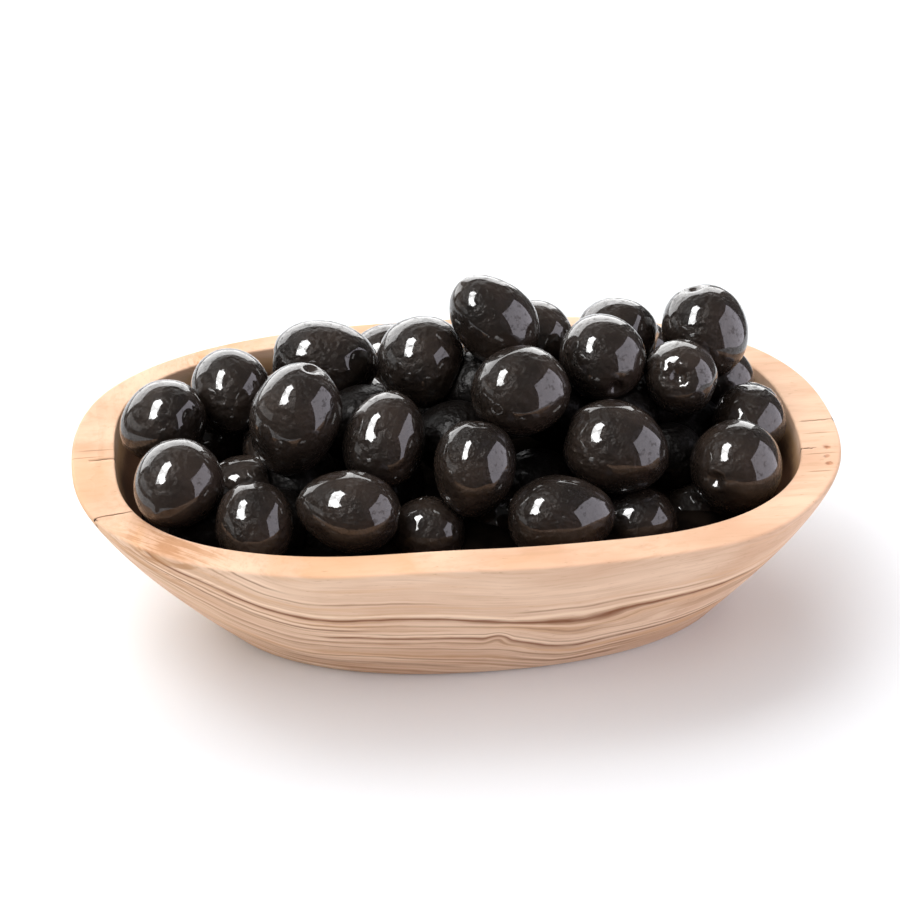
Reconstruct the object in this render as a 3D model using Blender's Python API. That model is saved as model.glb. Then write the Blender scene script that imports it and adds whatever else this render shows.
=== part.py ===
"""A carved wooden dish heaped with black olives.

Units are metres and +Z is up. The dish stands on its flat base, centred on the origin, with its
long side along X. It is one solid, and the heap of olives is another: a core that fills the
hollow, with the olives that show fused on at their true size.
"""

import math
import random

import bmesh
import bpy
from mathutils import Vector

MM = 0.001

# Dish: outside sizes at the rim, and how far the wall leans in from the rim to the base
LENGTH = 172 * MM
WIDTH = 115.2 * MM
HEIGHT = 42 * MM
END_LEAN = 28.5 * MM
SIDE_LEAN = 24.6 * MM
LEAN_POWER = 1.25
BASE_SHIFT = Vector((3.8 * MM, -0.7 * MM, 0))
BASE_ROUNDING = 1.5 * MM

# Dish: the flat rim, its softened edges and the carved hollow, a little nearer the back
END_BAND = 9.4 * MM
SIDE_BAND = 8.3 * MM
EDGE_SOFTENING = 1.0 * MM
FLOOR_THICKNESS = 8 * MM
HOLLOW_SHIFT = Vector((0, 0.8 * MM, 0))

# Dish: the hand-carved rim bows in along the front and swells at its right front corner. Each
# has a depth, the direction seen from the middle in degrees, and how wide it spreads. The hollow
# follows by half.
RIM_WAVES = ((-1.8 * MM, -103, 18), (2.6 * MM, -41, 14))
HOLLOW_WAVE = 0.5

# Squareness of the oblong outlines: 2 is an ellipse, and more is boxier
RIM_SQUARENESS = 2.5
BASE_SQUARENESS = 2.2
HOLLOW_SQUARENESS = 2.85

# Core of the heap: it follows the hollow part of the way up, then crowns towards the middle
FIT_GAP = 0.5 * MM
CROWN = 9 * MM

# Steps of the shapes
DISH_SIDES = 72
WALL_STEPS = 8
HOLLOW_STEPS = 9
STEPS_LEFT_BARE = 2
CROWN_STEPS = 3
OLIVE_SIDES = 11
OLIVE_RINGS = 7

# Olives laid by hand, in millimetres and degrees: along, across and up to the middle, then
# length and width, then the turn of the long axis about the vertical and its tilt upwards
LAID_OLIVES = (
    # Left end
    (-65.2, 2.3, 49, 20, 18, 10, 25),
    (-63, -21.7, 47, 20.5, 19, 60, 10),
    (-49.7, 12.3, 50, 20, 18, 90, 30),
    (-62, -4, 35, 19, 16, 90, 0),
    (-49, -9.7, 37, 18, 16, 0, 0),
    # Row along the front wall
    (-47.7, -31.7, 41.5, 19.5, 16.5, 90, 50),
    (-27.5, -33.7, 44.5, 22.5, 17.5, -12, -8),
    (-10.3, -28.7, 34.5, 17.5, 16, 0, 0),
    (4.3, -20.7, 30, 18, 16, 0, 0),
    (17.3, -35.7, 40.5, 24, 18, 180, 0),
    (36.3, -26.7, 31.5, 19, 17, 0, 0),
    (50.3, -17.7, 28, 18, 15.5, 0, 0),
    # Second row
    (-37, -12.7, 56, 26, 19.5, 10, 72),
    (-18.1, -16.7, 51.5, 22, 17.8, 240, -50),
    (0.3, -26.7, 49, 21, 18, 60, 65),
    (32.2, -20.7, 48, 24, 20, 160, 15),
    (59.3, -21.7, 42, 21, 20.5, -130, 8),
    # Upper row
    (-28.2, 17.3, 53.5, 25, 18.5, 170, 5),
    (-7.1, 5.3, 58.5, 21, 19.8, 90, 40),
    (12.3, -12.7, 59.2, 22, 20, 180, 0),
    (32.3, -1.7, 60.5, 20, 19, -80, -20),
    (49.8, -4.7, 55.8, 20, 16.5, -108, 28),
    (66.8, -1.7, 41.5, 19, 17, 60, 0),
    # Top of the heap and the slope behind it
    (8.7, 3.3, 68.5, 23.5, 17.6, -8, -52),
    (20.3, 16.3, 57, 18.5, 17, 90, 0),
    (39.5, 17.3, 55.5, 19, 18, 180, 0),
    (58.7, 11.3, 58.5, 22, 19.8, 130, 68),
    (63.3, 16.8, 42.5, 18, 16.5, 30, 0),
    (-0.7, 21.3, 49, 20, 17.5, 70, 10),
    # Tucked into the gaps
    (-21.7, 2.3, 45, 19, 17, 30, 20),
    (-1.7, -8.7, 46, 19, 17, -40, 10),
    (16.3, -11.7, 34.5, 18, 16, 0, 0),
    (22.3, 1.3, 46.5, 18, 17, 0, 0),
    (46.3, -9.7, 37.5, 18, 17, 0, 0),
    (46.3, 8.3, 44.5, 19, 17, 50, 0),
    (5.3, 2.3, 52.5, 18, 17, 0, 0),
    # Under the upper ones, hidden but for a glimpse
    (-56.7, -17.7, 34, 19, 17, 20, 0),
    (-42.7, -22.7, 35, 19, 17, 0, 0),
    (-36.5, -8.5, 38.5, 19, 17, 90, 0),
    (-29.7, -23.7, 34, 19, 17, 0, 0),
    (-17.7, -13.7, 38, 19, 17, 70, 0),
    (0.3, 19.3, 38, 19, 17, 0, 0),
    (24.3, 17.3, 44, 19, 17, 40, 0),
    (36.3, -2.7, 47, 18, 17, 0, 0),
    (54.3, 6.3, 35, 19, 18, 0, 0),
)

# Olives set by rule: their sizes, a row along the back wall, and a lower layer that fills the
# gaps, on a staggered grid that skips every place too near to an olive that is there already
OLIVE_LENGTHS = (19 * MM, 22 * MM)
OLIVE_WIDTHS = (17 * MM, 18.5 * MM)
DRAW_SEED = 4
BACK_COUNT = 6
BACK_START = -50 * MM
BACK_STEP = 19.4 * MM
BACK_CLEARANCE = 10.5 * MM
BACK_LEVELS = (37 * MM, 41 * MM)
BACK_TURN = 45
LAYER_SPACING = 6 * MM
LAYER_LIFT = 3 * MM
LAYER_WALL_GAP = 10.5 * MM
LAYER_NEAREST = 14.5 * MM

# Plain finishes, and the angle from which an edge is sharp
WOOD_COLOUR = (0.75, 0.48, 0.28)
WOOD_ROUGHNESS = 0.55
SKIN_COLOUR = (0.03, 0.022, 0.018)
SKIN_ROUGHNESS = 0.25
SHARP_ANGLE = 35


def between(start, end, share):
    return start + (end - start) * share


def rim_wave(direction):
    """How far the rim stands out from its even outline, in a direction in degrees."""
    wave = 0.0
    for depth, middle, spread in RIM_WAVES:
        wave += depth * math.exp(-(((direction - middle) / spread) ** 2))
    return wave


def outline(half_length, half_width, squareness, height, shift=Vector(), wave=0.0):
    """The points of one level section, a rounded oblong that takes a share of the rim's waves."""
    points = []
    for step in range(DISH_SIDES):
        turn = 2 * math.pi * step / DISH_SIDES
        along = math.copysign(abs(math.cos(turn)) ** (2 / squareness), math.cos(turn))
        across = math.copysign(abs(math.sin(turn)) ** (2 / squareness), math.sin(turn))
        point = Vector((half_length * along, half_width * across, 0))
        direction = math.degrees(math.atan2(point.y, point.x))
        point += point.normalized() * rim_wave(direction) * wave
        points.append(point + shift + Vector((0, 0, height)))
    return points


def wall_section(drop, inset=0.0):
    """The outside of the dish, from the rim at drop 0 to the base at drop 1."""
    lean = drop**LEAN_POWER
    return outline(
        LENGTH / 2 - END_LEAN * lean - inset,
        WIDTH / 2 - SIDE_LEAN * lean - inset,
        between(RIM_SQUARENESS, BASE_SQUARENESS, drop),
        (HEIGHT - EDGE_SOFTENING) * (1 - drop),
        BASE_SHIFT * lean,
        1 - drop,
    )


def rim_section(share, inset):
    """The top of the rim, at a share of the way from its outer to its inner edge and an inset."""
    return outline(
        LENGTH / 2 - END_BAND * share - inset,
        WIDTH / 2 - SIDE_BAND * share - inset,
        between(RIM_SQUARENESS, HOLLOW_SQUARENESS, share),
        HEIGHT,
        HOLLOW_SHIFT * share,
        between(1, HOLLOW_WAVE, share),
    )


def hollow_size(height):
    """Half the length and half the width of the hollow at a height. Its profile is an ellipse."""
    rise = (height - FLOOR_THICKNESS) / (HEIGHT - FLOOR_THICKNESS)
    spread = math.sqrt(1 - (1 - rise) ** 2)
    return (LENGTH / 2 - END_BAND) * spread, (WIDTH / 2 - SIDE_BAND) * spread


def hollow_heights():
    """Heights at even turns of the profile, from the softened rim down to the floor."""
    top = HEIGHT - EDGE_SOFTENING
    heights = [top]
    for step in range(1, HOLLOW_STEPS):
        turn = math.pi / 2 * (1 - step / HOLLOW_STEPS)
        heights.append(between(FLOOR_THICKNESS, top, 1 - math.cos(turn)))
    return heights


def hollow_section(height, gap=0.0):
    """The inside of the dish at a height, or a section that stays a gap clear of it."""
    half_length, half_width = hollow_size(height)
    return outline(
        half_length - gap,
        half_width - gap,
        HOLLOW_SQUARENESS,
        height + gap,
        HOLLOW_SHIFT,
        HOLLOW_WAVE * height / HEIGHT,
    )


def loft(name, sections):
    """A closed solid through the sections, with a flat cap on the first and on the last."""
    shape = bmesh.new()
    rings = []
    for section in sections:
        rings.append([shape.verts.new(point) for point in section])
    for lower, upper in zip(rings, rings[1:]):
        for step in range(DISH_SIDES):
            following = (step + 1) % DISH_SIDES
            shape.faces.new((lower[step], lower[following], upper[following], upper[step]))
    shape.faces.new(reversed(rings[0]))
    shape.faces.new(rings[-1])
    mesh = bpy.data.meshes.new(name)
    shape.to_mesh(mesh)
    shape.free()
    mesh.shade_smooth()
    mesh.set_sharp_from_angle(angle=math.radians(SHARP_ANGLE))
    return bpy.data.objects.new(name, mesh)


def principled(name, colour, roughness):
    material = bpy.data.materials.new(name)
    material.use_nodes = True
    shader = material.node_tree.nodes["Principled BSDF"]
    shader.inputs["Base Color"].default_value = (*colour, 1)
    shader.inputs["Roughness"].default_value = roughness
    shader.inputs["Metallic"].default_value = 0
    return material


def make_dish():
    """Up the outside, over the rim and down into the hollow."""
    lowest = 1 - BASE_ROUNDING / HEIGHT
    sections = [wall_section(1, BASE_ROUNDING)]
    for step in range(WALL_STEPS + 1):
        sections.append(wall_section(between(lowest, 0, step / WALL_STEPS)))
    sections.append(rim_section(0, EDGE_SOFTENING))
    sections.append(rim_section(1, -EDGE_SOFTENING))
    for height in hollow_heights():
        sections.append(hollow_section(height))
    return loft("bowl", sections)


def crown_height(reach):
    """Height of the core's top, from its edge at reach 1 to its middle at reach 0."""
    return hollow_heights()[STEPS_LEFT_BARE] + FIT_GAP + CROWN * (1 - reach**2)


def make_core():
    """The filling of the hollow, with a crown on top."""
    sections = []
    heights = hollow_heights()[STEPS_LEFT_BARE:]
    for height in reversed(heights):
        sections.append(hollow_section(height, FIT_GAP))
    half_length, half_width = hollow_size(heights[0])
    for step in range(1, CROWN_STEPS + 1):
        reach = math.cos(math.pi / 2 * step / (CROWN_STEPS + 1))
        sections.append(
            outline(
                (half_length - FIT_GAP) * reach,
                (half_width - FIT_GAP) * reach,
                HOLLOW_SQUARENESS,
                crown_height(reach),
                HOLLOW_SHIFT,
            )
        )
    return loft("olives", sections)


def make_olive(name, place, length, width, turn, tilt):
    """A low-sided olive whose poles are at its two ends."""
    shape = bmesh.new()
    bmesh.ops.create_uvsphere(
        shape, u_segments=OLIVE_SIDES, v_segments=OLIVE_RINGS, radius=0.5
    )
    bmesh.ops.scale(shape, vec=(width, width, length), verts=shape.verts)
    mesh = bpy.data.meshes.new(name)
    shape.to_mesh(mesh)
    shape.free()
    olive = bpy.data.objects.new(name, mesh)
    olive.location = place
    olive.rotation_euler = (0, math.radians(90 - tilt), math.radians(turn))
    return olive


def laid_olives():
    olives = []
    for number, row in enumerate(LAID_OLIVES):
        along, across, up, length, width, turn, tilt = row
        place = (along * MM, across * MM, up * MM)
        name = f"laid_olive_{number}"
        olives.append(make_olive(name, place, length * MM, width * MM, turn, tilt))
    return olives


def back_olives(draw):
    """A row that leans on the back wall."""
    olives = []
    for number in range(BACK_COUNT):
        along = BACK_START + BACK_STEP * number
        up = draw.uniform(*BACK_LEVELS)
        half_length, half_width = hollow_size(up)
        bend = 1 - (abs(along) / half_length) ** HOLLOW_SQUARENESS
        wall = half_width * bend ** (1 / HOLLOW_SQUARENESS)
        place = (along, wall + HOLLOW_SHIFT.y - BACK_CLEARANCE, up)
        length = draw.uniform(*OLIVE_LENGTHS)
        width = draw.uniform(*OLIVE_WIDTHS)
        turn = -BACK_TURN * along / half_length
        olives.append(make_olive(f"back_olive_{number}", place, length, width, turn, 0))
    return olives


def reach_of(along, across, half_length, half_width):
    """0 in the middle of a rounded oblong and 1 on its outline."""
    power = HOLLOW_SQUARENESS
    spread = (abs(along) / half_length) ** power + (abs(across) / half_width) ** power
    return spread ** (1 / power)


def layer_olives(draw, others):
    """A lower layer in the gaps between the others."""
    half_length, half_width = hollow_size(hollow_heights()[STEPS_LEFT_BARE])
    taken = [olive.location.copy() for olive in others]
    olives = []
    columns = int(half_length / LAYER_SPACING)
    rows = int(half_width / LAYER_SPACING)
    for row in range(-rows, rows + 1):
        for column in range(-columns, columns + 1):
            along = (column + 0.5 * (row % 2)) * LAYER_SPACING
            across = row * LAYER_SPACING
            wall_gap = reach_of(
                along, across, half_length - LAYER_WALL_GAP, half_width - LAYER_WALL_GAP
            )
            if wall_gap > 1:
                continue
            up = crown_height(reach_of(along, across, half_length, half_width)) + LAYER_LIFT
            place = Vector((along, across, up))
            if min((place - other).length for other in taken) < LAYER_NEAREST:
                continue
            taken.append(place)
            length = draw.uniform(*OLIVE_LENGTHS)
            width = draw.uniform(*OLIVE_WIDTHS)
            turn = draw.uniform(0, 180)
            name = f"layer_olive_{len(olives)}"
            olives.append(make_olive(name, place, length, width, turn, 0))
    return olives


def collect(name, objects):
    collection = bpy.data.collections.new(name)
    bpy.context.scene.collection.children.link(collection)
    for item in objects:
        collection.objects.link(item)
    return collection


def fuse(core, olives):
    """One Boolean union of the core with the olives, applied, and the olives then removed."""
    union = core.modifiers.new("Join olives", "BOOLEAN")
    union.operation = "UNION"
    union.operand_type = "COLLECTION"
    union.collection = olives
    union.solver = "EXACT"
    graph = bpy.context.evaluated_depsgraph_get()
    fused = bpy.data.meshes.new_from_object(core.evaluated_get(graph))
    core.modifiers.clear()
    core.data = fused
    for olive in list(olives.objects):
        bpy.data.objects.remove(olive)
    bpy.data.collections.remove(olives)


def shell_from(start):
    """The faces that join up with one face."""
    found = {start}
    waiting = [start]
    while waiting:
        face = waiting.pop()
        for edge in face.edges:
            for other in edge.link_faces:
                if other not in found:
                    found.add(other)
                    waiting.append(other)
    return found


def keep_largest_shell(piece):
    """Fills any hollow that the union sealed, and drops any loose scrap."""
    shape = bmesh.new()
    shape.from_mesh(piece.data)
    left = set(shape.faces)
    shells = []
    while left:
        shell = shell_from(next(iter(left)))
        shells.append(shell)
        left -= shell
    shells.sort(key=len)
    for shell in shells[:-1]:
        bmesh.ops.delete(shape, geom=list(shell), context="FACES")
    shape.to_mesh(piece.data)
    shape.free()


def main():
    for item in list(bpy.data.objects):
        bpy.data.objects.remove(item)
    dish = make_dish()
    core = make_core()
    collect("dish_of_olives", [dish, core])
    draw = random.Random(DRAW_SEED)
    olives = laid_olives() + back_olives(draw)
    olives += layer_olives(draw, olives)
    fuse(core, collect("loose_olives", olives))
    keep_largest_shell(core)
    dish.data.materials.append(principled("olive_wood", WOOD_COLOUR, WOOD_ROUGHNESS))
    core.data.materials.clear()
    core.data.materials.append(principled("black_olive", SKIN_COLOUR, SKIN_ROUGHNESS))


main()
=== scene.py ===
"""The finished look of a carved olive-wood dish heaped with black olives.

Units are metres and +Z is up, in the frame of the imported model. The dish and the heap of that
model are replaced by finer pieces of the same form: the carved dish, the loose olives, and the
dark heart of the heap under them.
"""

import math
import random

import bmesh
import bpy
import numpy as np
from mathutils import Euler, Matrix, Quaternion, Vector, noise


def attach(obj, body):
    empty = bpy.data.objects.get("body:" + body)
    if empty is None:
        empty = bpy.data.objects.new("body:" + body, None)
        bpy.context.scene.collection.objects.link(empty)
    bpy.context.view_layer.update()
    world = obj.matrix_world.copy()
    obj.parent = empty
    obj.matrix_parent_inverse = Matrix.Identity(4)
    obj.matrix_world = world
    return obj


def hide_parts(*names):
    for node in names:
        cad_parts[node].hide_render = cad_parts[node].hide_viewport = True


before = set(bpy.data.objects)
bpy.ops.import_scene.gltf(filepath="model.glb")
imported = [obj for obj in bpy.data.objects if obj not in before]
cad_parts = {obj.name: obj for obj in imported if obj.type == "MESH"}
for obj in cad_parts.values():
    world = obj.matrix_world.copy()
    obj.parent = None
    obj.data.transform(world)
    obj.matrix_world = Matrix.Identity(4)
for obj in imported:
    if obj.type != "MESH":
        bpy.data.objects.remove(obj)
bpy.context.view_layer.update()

MM = 0.001

# Dish: outside sizes at the rim, and how far the wall leans in from the rim to the base
LENGTH = 172 * MM
WIDTH = 115.2 * MM
HEIGHT = 42 * MM
END_LEAN = 28.5 * MM
SIDE_LEAN = 24.6 * MM
LEAN_POWER = 1.25
BASE_SHIFT = Vector((3.8 * MM, -0.7 * MM, 0))
BASE_ROUNDING = 1.5 * MM
END_BAND = 9.4 * MM
SIDE_BAND = 8.3 * MM
OUTER_EDGE = 0.8 * MM
INNER_EDGE = 0.5 * MM
FLOOR_THICKNESS = 8 * MM
HOLLOW_SHIFT = Vector((0, 0.8 * MM, 0))

# Dish: the hand-carved rim bows in along the front and swells at its right front corner. Each
# has a depth, the direction seen from the middle in degrees, and how wide it spreads. The hollow
# follows by half.
RIM_WAVES = ((-1.8 * MM, -103, 18), (2.6 * MM, -41, 14))
HOLLOW_WAVE = 0.5

# Squareness of the oblong outlines: 2 is an ellipse, and more is boxier
RIM_SQUARENESS = 2.5
BASE_SQUARENESS = 2.2
HOLLOW_SQUARENESS = 2.85

# Dish: fineness of the mesh, and how uneven the carving is. The seed keeps it the same each run.
DISH_SIDES = 400
WALL_STEPS = 46
EDGE_STEPS = 4
RIM_STEPS = 6
HOLLOW_STEPS = 30
CARVING_DEPTH = 0.35 * MM
CARVING_SPAN = 26 * MM
CARVING_FADE = 4 * MM
CARVING_SEED = 5

# Dish: the top of the rim is marked down to a depth and up to a lean outwards, and the inside up
# to a smaller lean, with the depth over which its oil stain darkens into painted shade
RIM_EDGE = 0.75 * MM
RIM_LEAN = 0.75
INSIDE_LEAN = 0.35
OIL_AND_SHADE_DEPTH = 16 * MM

# Dish: cracks in the rim, each from one place to another, with its width and depth, and small
# chips out of the rim with their radius, all in millimetres
CRACKS = (
    (-81.5, -25.4, -73.0, -23.4, 0.42, 1.6),
    (-82.0, -0.8, -76.0, -0.4, 0.3, 0.9),
    (78.4, -4.3, 86.5, -3.8, 0.34, 1.4),
    (75.2, -16.1, 78.6, -16.3, 0.34, 0.8),
)
CRACK_CUTS = 12
CRACK_TAPER = 0.6
CRACK_BENDS = 5
CRACK_WAVER = 0.25 * MM
CRACK_REACH = 0.4 * MM
CRACK_LEVELS = (0.15 * MM, 2.2 * MM)
CHIPS = (
    (81.2, -16.4, 0.7),
    (80.2, -20.2, 0.6),
    (79.8, -23.4, 0.8),
)
CHIP_RISE = 0.1
CHIP_ROUGHNESS = 0.3 * MM
CHIP_SPAN = 0.8 * MM

# Wood: strong growth lines, each at a level of the layers, from one place along the dish to
# another, with its width in millimetres and its strength. They fade at their ends, and a painted
# highlight line, as on the lit edge of a groove, lies above each, at so many of its widths.
GROWTH_LINES = (
    (35.5, -78, -40, 0.5, 0.7),
    (33, -70, -8, 0.45, 0.5),
    (29.8, 2, 52, 0.5, 0.5),
    (27, -78, 6, 0.85, 1.0),
    (26.2, -7, 64, 0.9, 1.0),
    (24.4, -66, 30, 0.45, 0.5),
    (22.6, -76, -22, 0.6, 0.8),
    (21, -30, 60, 0.45, 0.5),
    (19.2, -38, 60, 0.8, 0.9),
    (17.2, -74, 12, 0.45, 0.5),
    (14.6, -60, 40, 0.5, 0.5),
    (11.6, 4, 36, 0.7, 0.7),
    (9.5, -44, 20, 0.5, 0.45),
    (6.5, -46, 0, 1.2, 0.5),
    (3.2, -30, 34, 0.6, 0.4),
)
LINE_FADE = 9
HIGHLIGHT_RISE = 1.7

# Wood: the eye that the lines part round and the kink in them, both in the front wall, and the
# knot at the left of the rim, with their places in millimetres, the kink's as along and up. The
# streaks round the knot run with the rim, which is turned there by so many degrees. The fine
# lines of the wood come in from the first to the second of two levels.
EYE_PLACE = (-32, -36, 19)
EYE_STRETCH = (0.5, 1, 1)
KINK_PLACE = (3, 17)
KNOT_PLACE = (-66, -39, 41)
KNOT_STRETCH = (0.8, 0.9, 1.2)
KNOT_REACH = 17
KNOT_CORE = 3.6
KNOT_TURN = 40
LINED_LEVELS = (33, 22)

# Wood: faint lines across the top of the rim, each at a place across, from one place along to
# another, with its width, and stains on the rim at the back, each with its place and reach
RIM_LINES = (
    (3.4, -86, -75, 0.35),
    (0.6, -88, -78, 0.3),
    (-26.4, 73, 81, 0.35),
    (-9.5, 76, 86, 0.3),
    (-19, 74, 84, 0.3),
)
RIM_STAINS = (
    (-54, 43, 5),
    (-15, 52, 3),
)
STAIN_STRETCH = (0.5, 1, 0)

# Wood: its colours
WOOD_PALE = (0.83, 0.6, 0.44)
WOOD_MIDDLE = (0.75, 0.52, 0.37)
WOOD_DEEP = (0.67, 0.43, 0.29)
WOOD_LOW_AND_SHADE = (0.56, 0.37, 0.26)
WOOD_PALE_AND_HIGHLIGHT = (0.95, 0.74, 0.56)
WOOD_FIBRE = (0.5, 0.29, 0.17)
WOOD_LINE = (0.36, 0.17, 0.08)
WOOD_DARK = (0.24, 0.1, 0.05)
WOOD_WARM = (0.68, 0.4, 0.22)
WOOD_STAIN = (0.44, 0.21, 0.085)
WOOD_RIM_TINT_AND_LIGHT = (1.07, 1.01, 0.97)
WOOD_OILED = (0.46, 0.25, 0.11)
WOOD_SOAKED_AND_SHADED = (0.055, 0.024, 0.014)

# Olive skin: its colours
SKIN_DARK = (0.011, 0.0078, 0.006)
SKIN_BROWN = (0.028, 0.0185, 0.0135)
SKIN_DUSTY = (0.045, 0.036, 0.03)
# The last is painted shade, for the olives in the gaps and the heart of the heap.
SKIN_SHADED = (0.004, 0.003, 0.0025)

# Heart of the heap
FIT_GAP = 0.5 * MM
HEART_SIDES = 160
HEART_TOP = 30.5 * MM
HEART_STEPS = 14
CROWN = 7 * MM
CROWN_STEPS = 26
HUMP_SPACING = 17 * MM
HUMP_HEIGHT = 5 * MM
HUMP_ROUNDNESS = 0.75

# Olives listed one by one, in millimetres and degrees: along, across and up to the middle, then
# length and width, the turn of the stem end about the vertical and its tilt upwards, and how
# wrinkled the skin is
LAID_OLIVES = (
    # Left end
    (-65.2, 2.3, 49, 20, 18, 10, 25, 0.3),
    (-63, -21.7, 47, 20.5, 19, 60, 10, 0.2),
    (-49.7, 12.3, 50, 20, 18, 90, 30, 0.3),
    (-62, -4, 35, 19, 16, 90, 0, 0.4),
    (-49, -9.7, 37, 18, 16, 0, 0, 0.4),
    # Row along the front wall
    (-47.7, -31.7, 41.5, 19.5, 16.5, 90, 50, 0.7),
    (-27.5, -33.7, 44.5, 22.5, 17.5, -12, -8, 0.5),
    (-10.3, -28.7, 34.5, 17.5, 16, 0, 0, 0.4),
    (4.3, -20.7, 30, 18, 16, 0, 0, 0.4),
    (17.3, -35.7, 40.5, 24, 18, 180, 0, 0.9),
    (36.3, -26.7, 31.5, 19, 17, 0, 0, 0.4),
    (50.3, -17.7, 28, 18, 15.5, 0, 0, 0.4),
    # Second row
    (-37, -12.7, 56, 26, 19.5, 10, 72, 0.3),
    (-18.1, -16.7, 51.5, 22, 17.8, 240, -50, 0.6),
    (0.3, -26.7, 49, 21, 18, 60, 65, 0.8),
    (32.2, -20.7, 48, 24, 20, 160, 15, 0.8),
    (59.3, -21.7, 42, 21, 20.5, -130, 8, 0.2),
    # Upper row
    (-28.2, 17.3, 53.5, 25, 18.5, 170, 5, 0.9),
    (-7.1, 5.3, 58.5, 21, 19.8, 90, 40, 0.5),
    (12.3, -12.7, 59.2, 22, 20, 180, 0, 0.2),
    (32.3, -1.7, 60.5, 20, 19, -80, -20, 0.5),
    (49.8, -4.7, 55.8, 20, 16.5, -108, 28, 0.9),
    (66.8, -1.7, 41.5, 19, 17, 60, 0, 1.0),
    # Top of the heap and the slope behind it
    (8.7, 3.3, 68.5, 23.5, 17.6, -8, -52, 0.3),
    (20.3, 16.3, 57, 18.5, 17, 90, 0, 0.3),
    (39.5, 17.3, 55.5, 19, 18, 180, 0, 0.8),
    (58.7, 11.3, 58.5, 22, 19.8, 130, 68, 0.6),
    (63.3, 16.8, 42.5, 18, 16.5, 30, 0, 0.4),
    (-0.7, 21.3, 49, 20, 17.5, 70, 10, 0.5),
    # Tucked into the gaps
    (-21.7, 2.3, 45, 19, 17, 30, 20, 0.3),
    (-1.7, -8.7, 46, 19, 17, -40, 10, 0.3),
    (16.3, -11.7, 34.5, 18, 16, 0, 0, 0.3),
    (22.3, 1.3, 46.5, 18, 17, 0, 0, 0.3),
    (46.3, -9.7, 37.5, 18, 17, 0, 0, 0.3),
    (46.3, 8.3, 44.5, 19, 17, 50, 0, 0.5),
    (5.3, 2.3, 52.5, 18, 17, 0, 0, 0.3),
    # Under the upper ones, hidden but for a glimpse
    (-56.7, -17.7, 34, 19, 17, 20, 0, 0.3),
    (-42.7, -22.7, 35, 19, 17, 0, 0, 0.3),
    (-36.5, -8.5, 38.5, 19, 17, 90, 0, 0.3),
    (-29.7, -23.7, 34, 19, 17, 0, 0, 0.3),
    (-17.7, -13.7, 38, 19, 17, 70, 0, 0.3),
    (0.3, 19.3, 38, 19, 17, 0, 0, 0.3),
    (24.3, 17.3, 44, 19, 17, 40, 0, 0.3),
    (36.3, -2.7, 47, 18, 17, 0, 0, 0.3),
    (54.3, 6.3, 35, 19, 18, 0, 0, 0.3),
)

# Listed olives that show only as a glimpse in a gap, where they are painted darker as painted shade
# and less oil is left on them: those after the first so many
SHOWN_COUNT = 29
UNDER_WET_AND_UNSHADED = 0.04

# Olives set by rule: a row along the back wall, and a few in the lower layer
OLIVE_LENGTHS = (19 * MM, 22 * MM)
OLIVE_WIDTHS = (17 * MM, 18.5 * MM)
DRAW_SEED = 4
BACK_COUNT = 6
BACK_START = -50 * MM
BACK_STEP = 19.4 * MM
BACK_CLEARANCE = 10.5 * MM
BACK_LEVELS = (37 * MM, 41 * MM)
BACK_TURN = 45
BACK_WRINKLES = 0.5
LAYER_PLACES = (
    (-39, 6, 39.5),
    (-57, 18, 36),
    (-21, 18, 40.4),
    (-36, 24, 38.4),
    (36, 24, 38.4),
)
LAYER_WRINKLES = 0.3

# Olive: fineness of its mesh
OLIVE_SIDES = 54
OLIVE_RINGS = 33
RINGS_TO_ENDS = 0.25

# Olive: its stem end, with a pit, a lip and creases round the pit, and a shoulder that sinks in.
# Where there are two sizes, they are those of a smooth skin and of a wrinkled one.
PIT_DEPTHS = (0.77 * MM, 1.65 * MM)
PIT_RADII = (0.98 * MM, 2.24 * MM)
LIP_HEIGHT = 0.18 * MM
LIP_RADIUS = 2.3 * MM
LIP_WIDTH = 0.7 * MM
LIP_UNEVENNESS = 0.3
SHOULDER_DEPTHS = (0.3 * MM, 0.8 * MM)
SHOULDER_RADIUS = 3.4 * MM
CREASE_DEPTHS = (0.02 * MM, 0.12 * MM)
CREASE_REACH = 2.2 * MM
CREASE_SHARPNESS = 4
CREASES_ROUND = 1.3

# Olive: the small point at its tip, its taper towards the tip, and how lumpy and wrinkled the skin
# is. The most wrinkled olive has a fold round it too, at a share of its length from the middle.
TIP_HEIGHT = 0.3 * MM
TIP_RADIUS = 0.9 * MM
TAPER = 0.055
LUMP_HEIGHT = 0.45 * MM
LUMP_SPAN = 11 * MM
WRINKLE_HEIGHT = 0.16 * MM
WRINKLE_SPAN = 3.2 * MM
WRINKLE_STRETCH = 2.6
FOLD_WRINKLES = 1
FOLD_DEPTH = 0.7 * MM
FOLD_WIDTH = 0.7 * MM
FOLD_PLACE = 0.2
SKIN_STEPS = (7.3, 3.1, 5.7)

# Olive: how far two that meet are pressed back, as a share of the way to where they touch, how
# near a point has to be, and how often the way is halved to find that place
PRESSED_GAP = 0.997
PRESSED_NEAR = 1.02
PRESSED_HALVINGS = 18

# Studio: the surroundings, and the floor with the sheet of paper on it
WORLD_COLOUR = (1, 0.99, 0.985)
WORLD_LIGHT = 0.1
FLOOR_COLOURS = ((0.79, 0.81, 0.83), (0.82, 0.84, 0.86))
FLOOR_GLOW = 0.05
FLOOR_SIZE = 6
SHEET_SIZE = (0.62, 1.4)
SHEET_PLACE = (-0.09, 0.55)
SHEET_THICKNESS = 0.5 * MM

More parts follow.
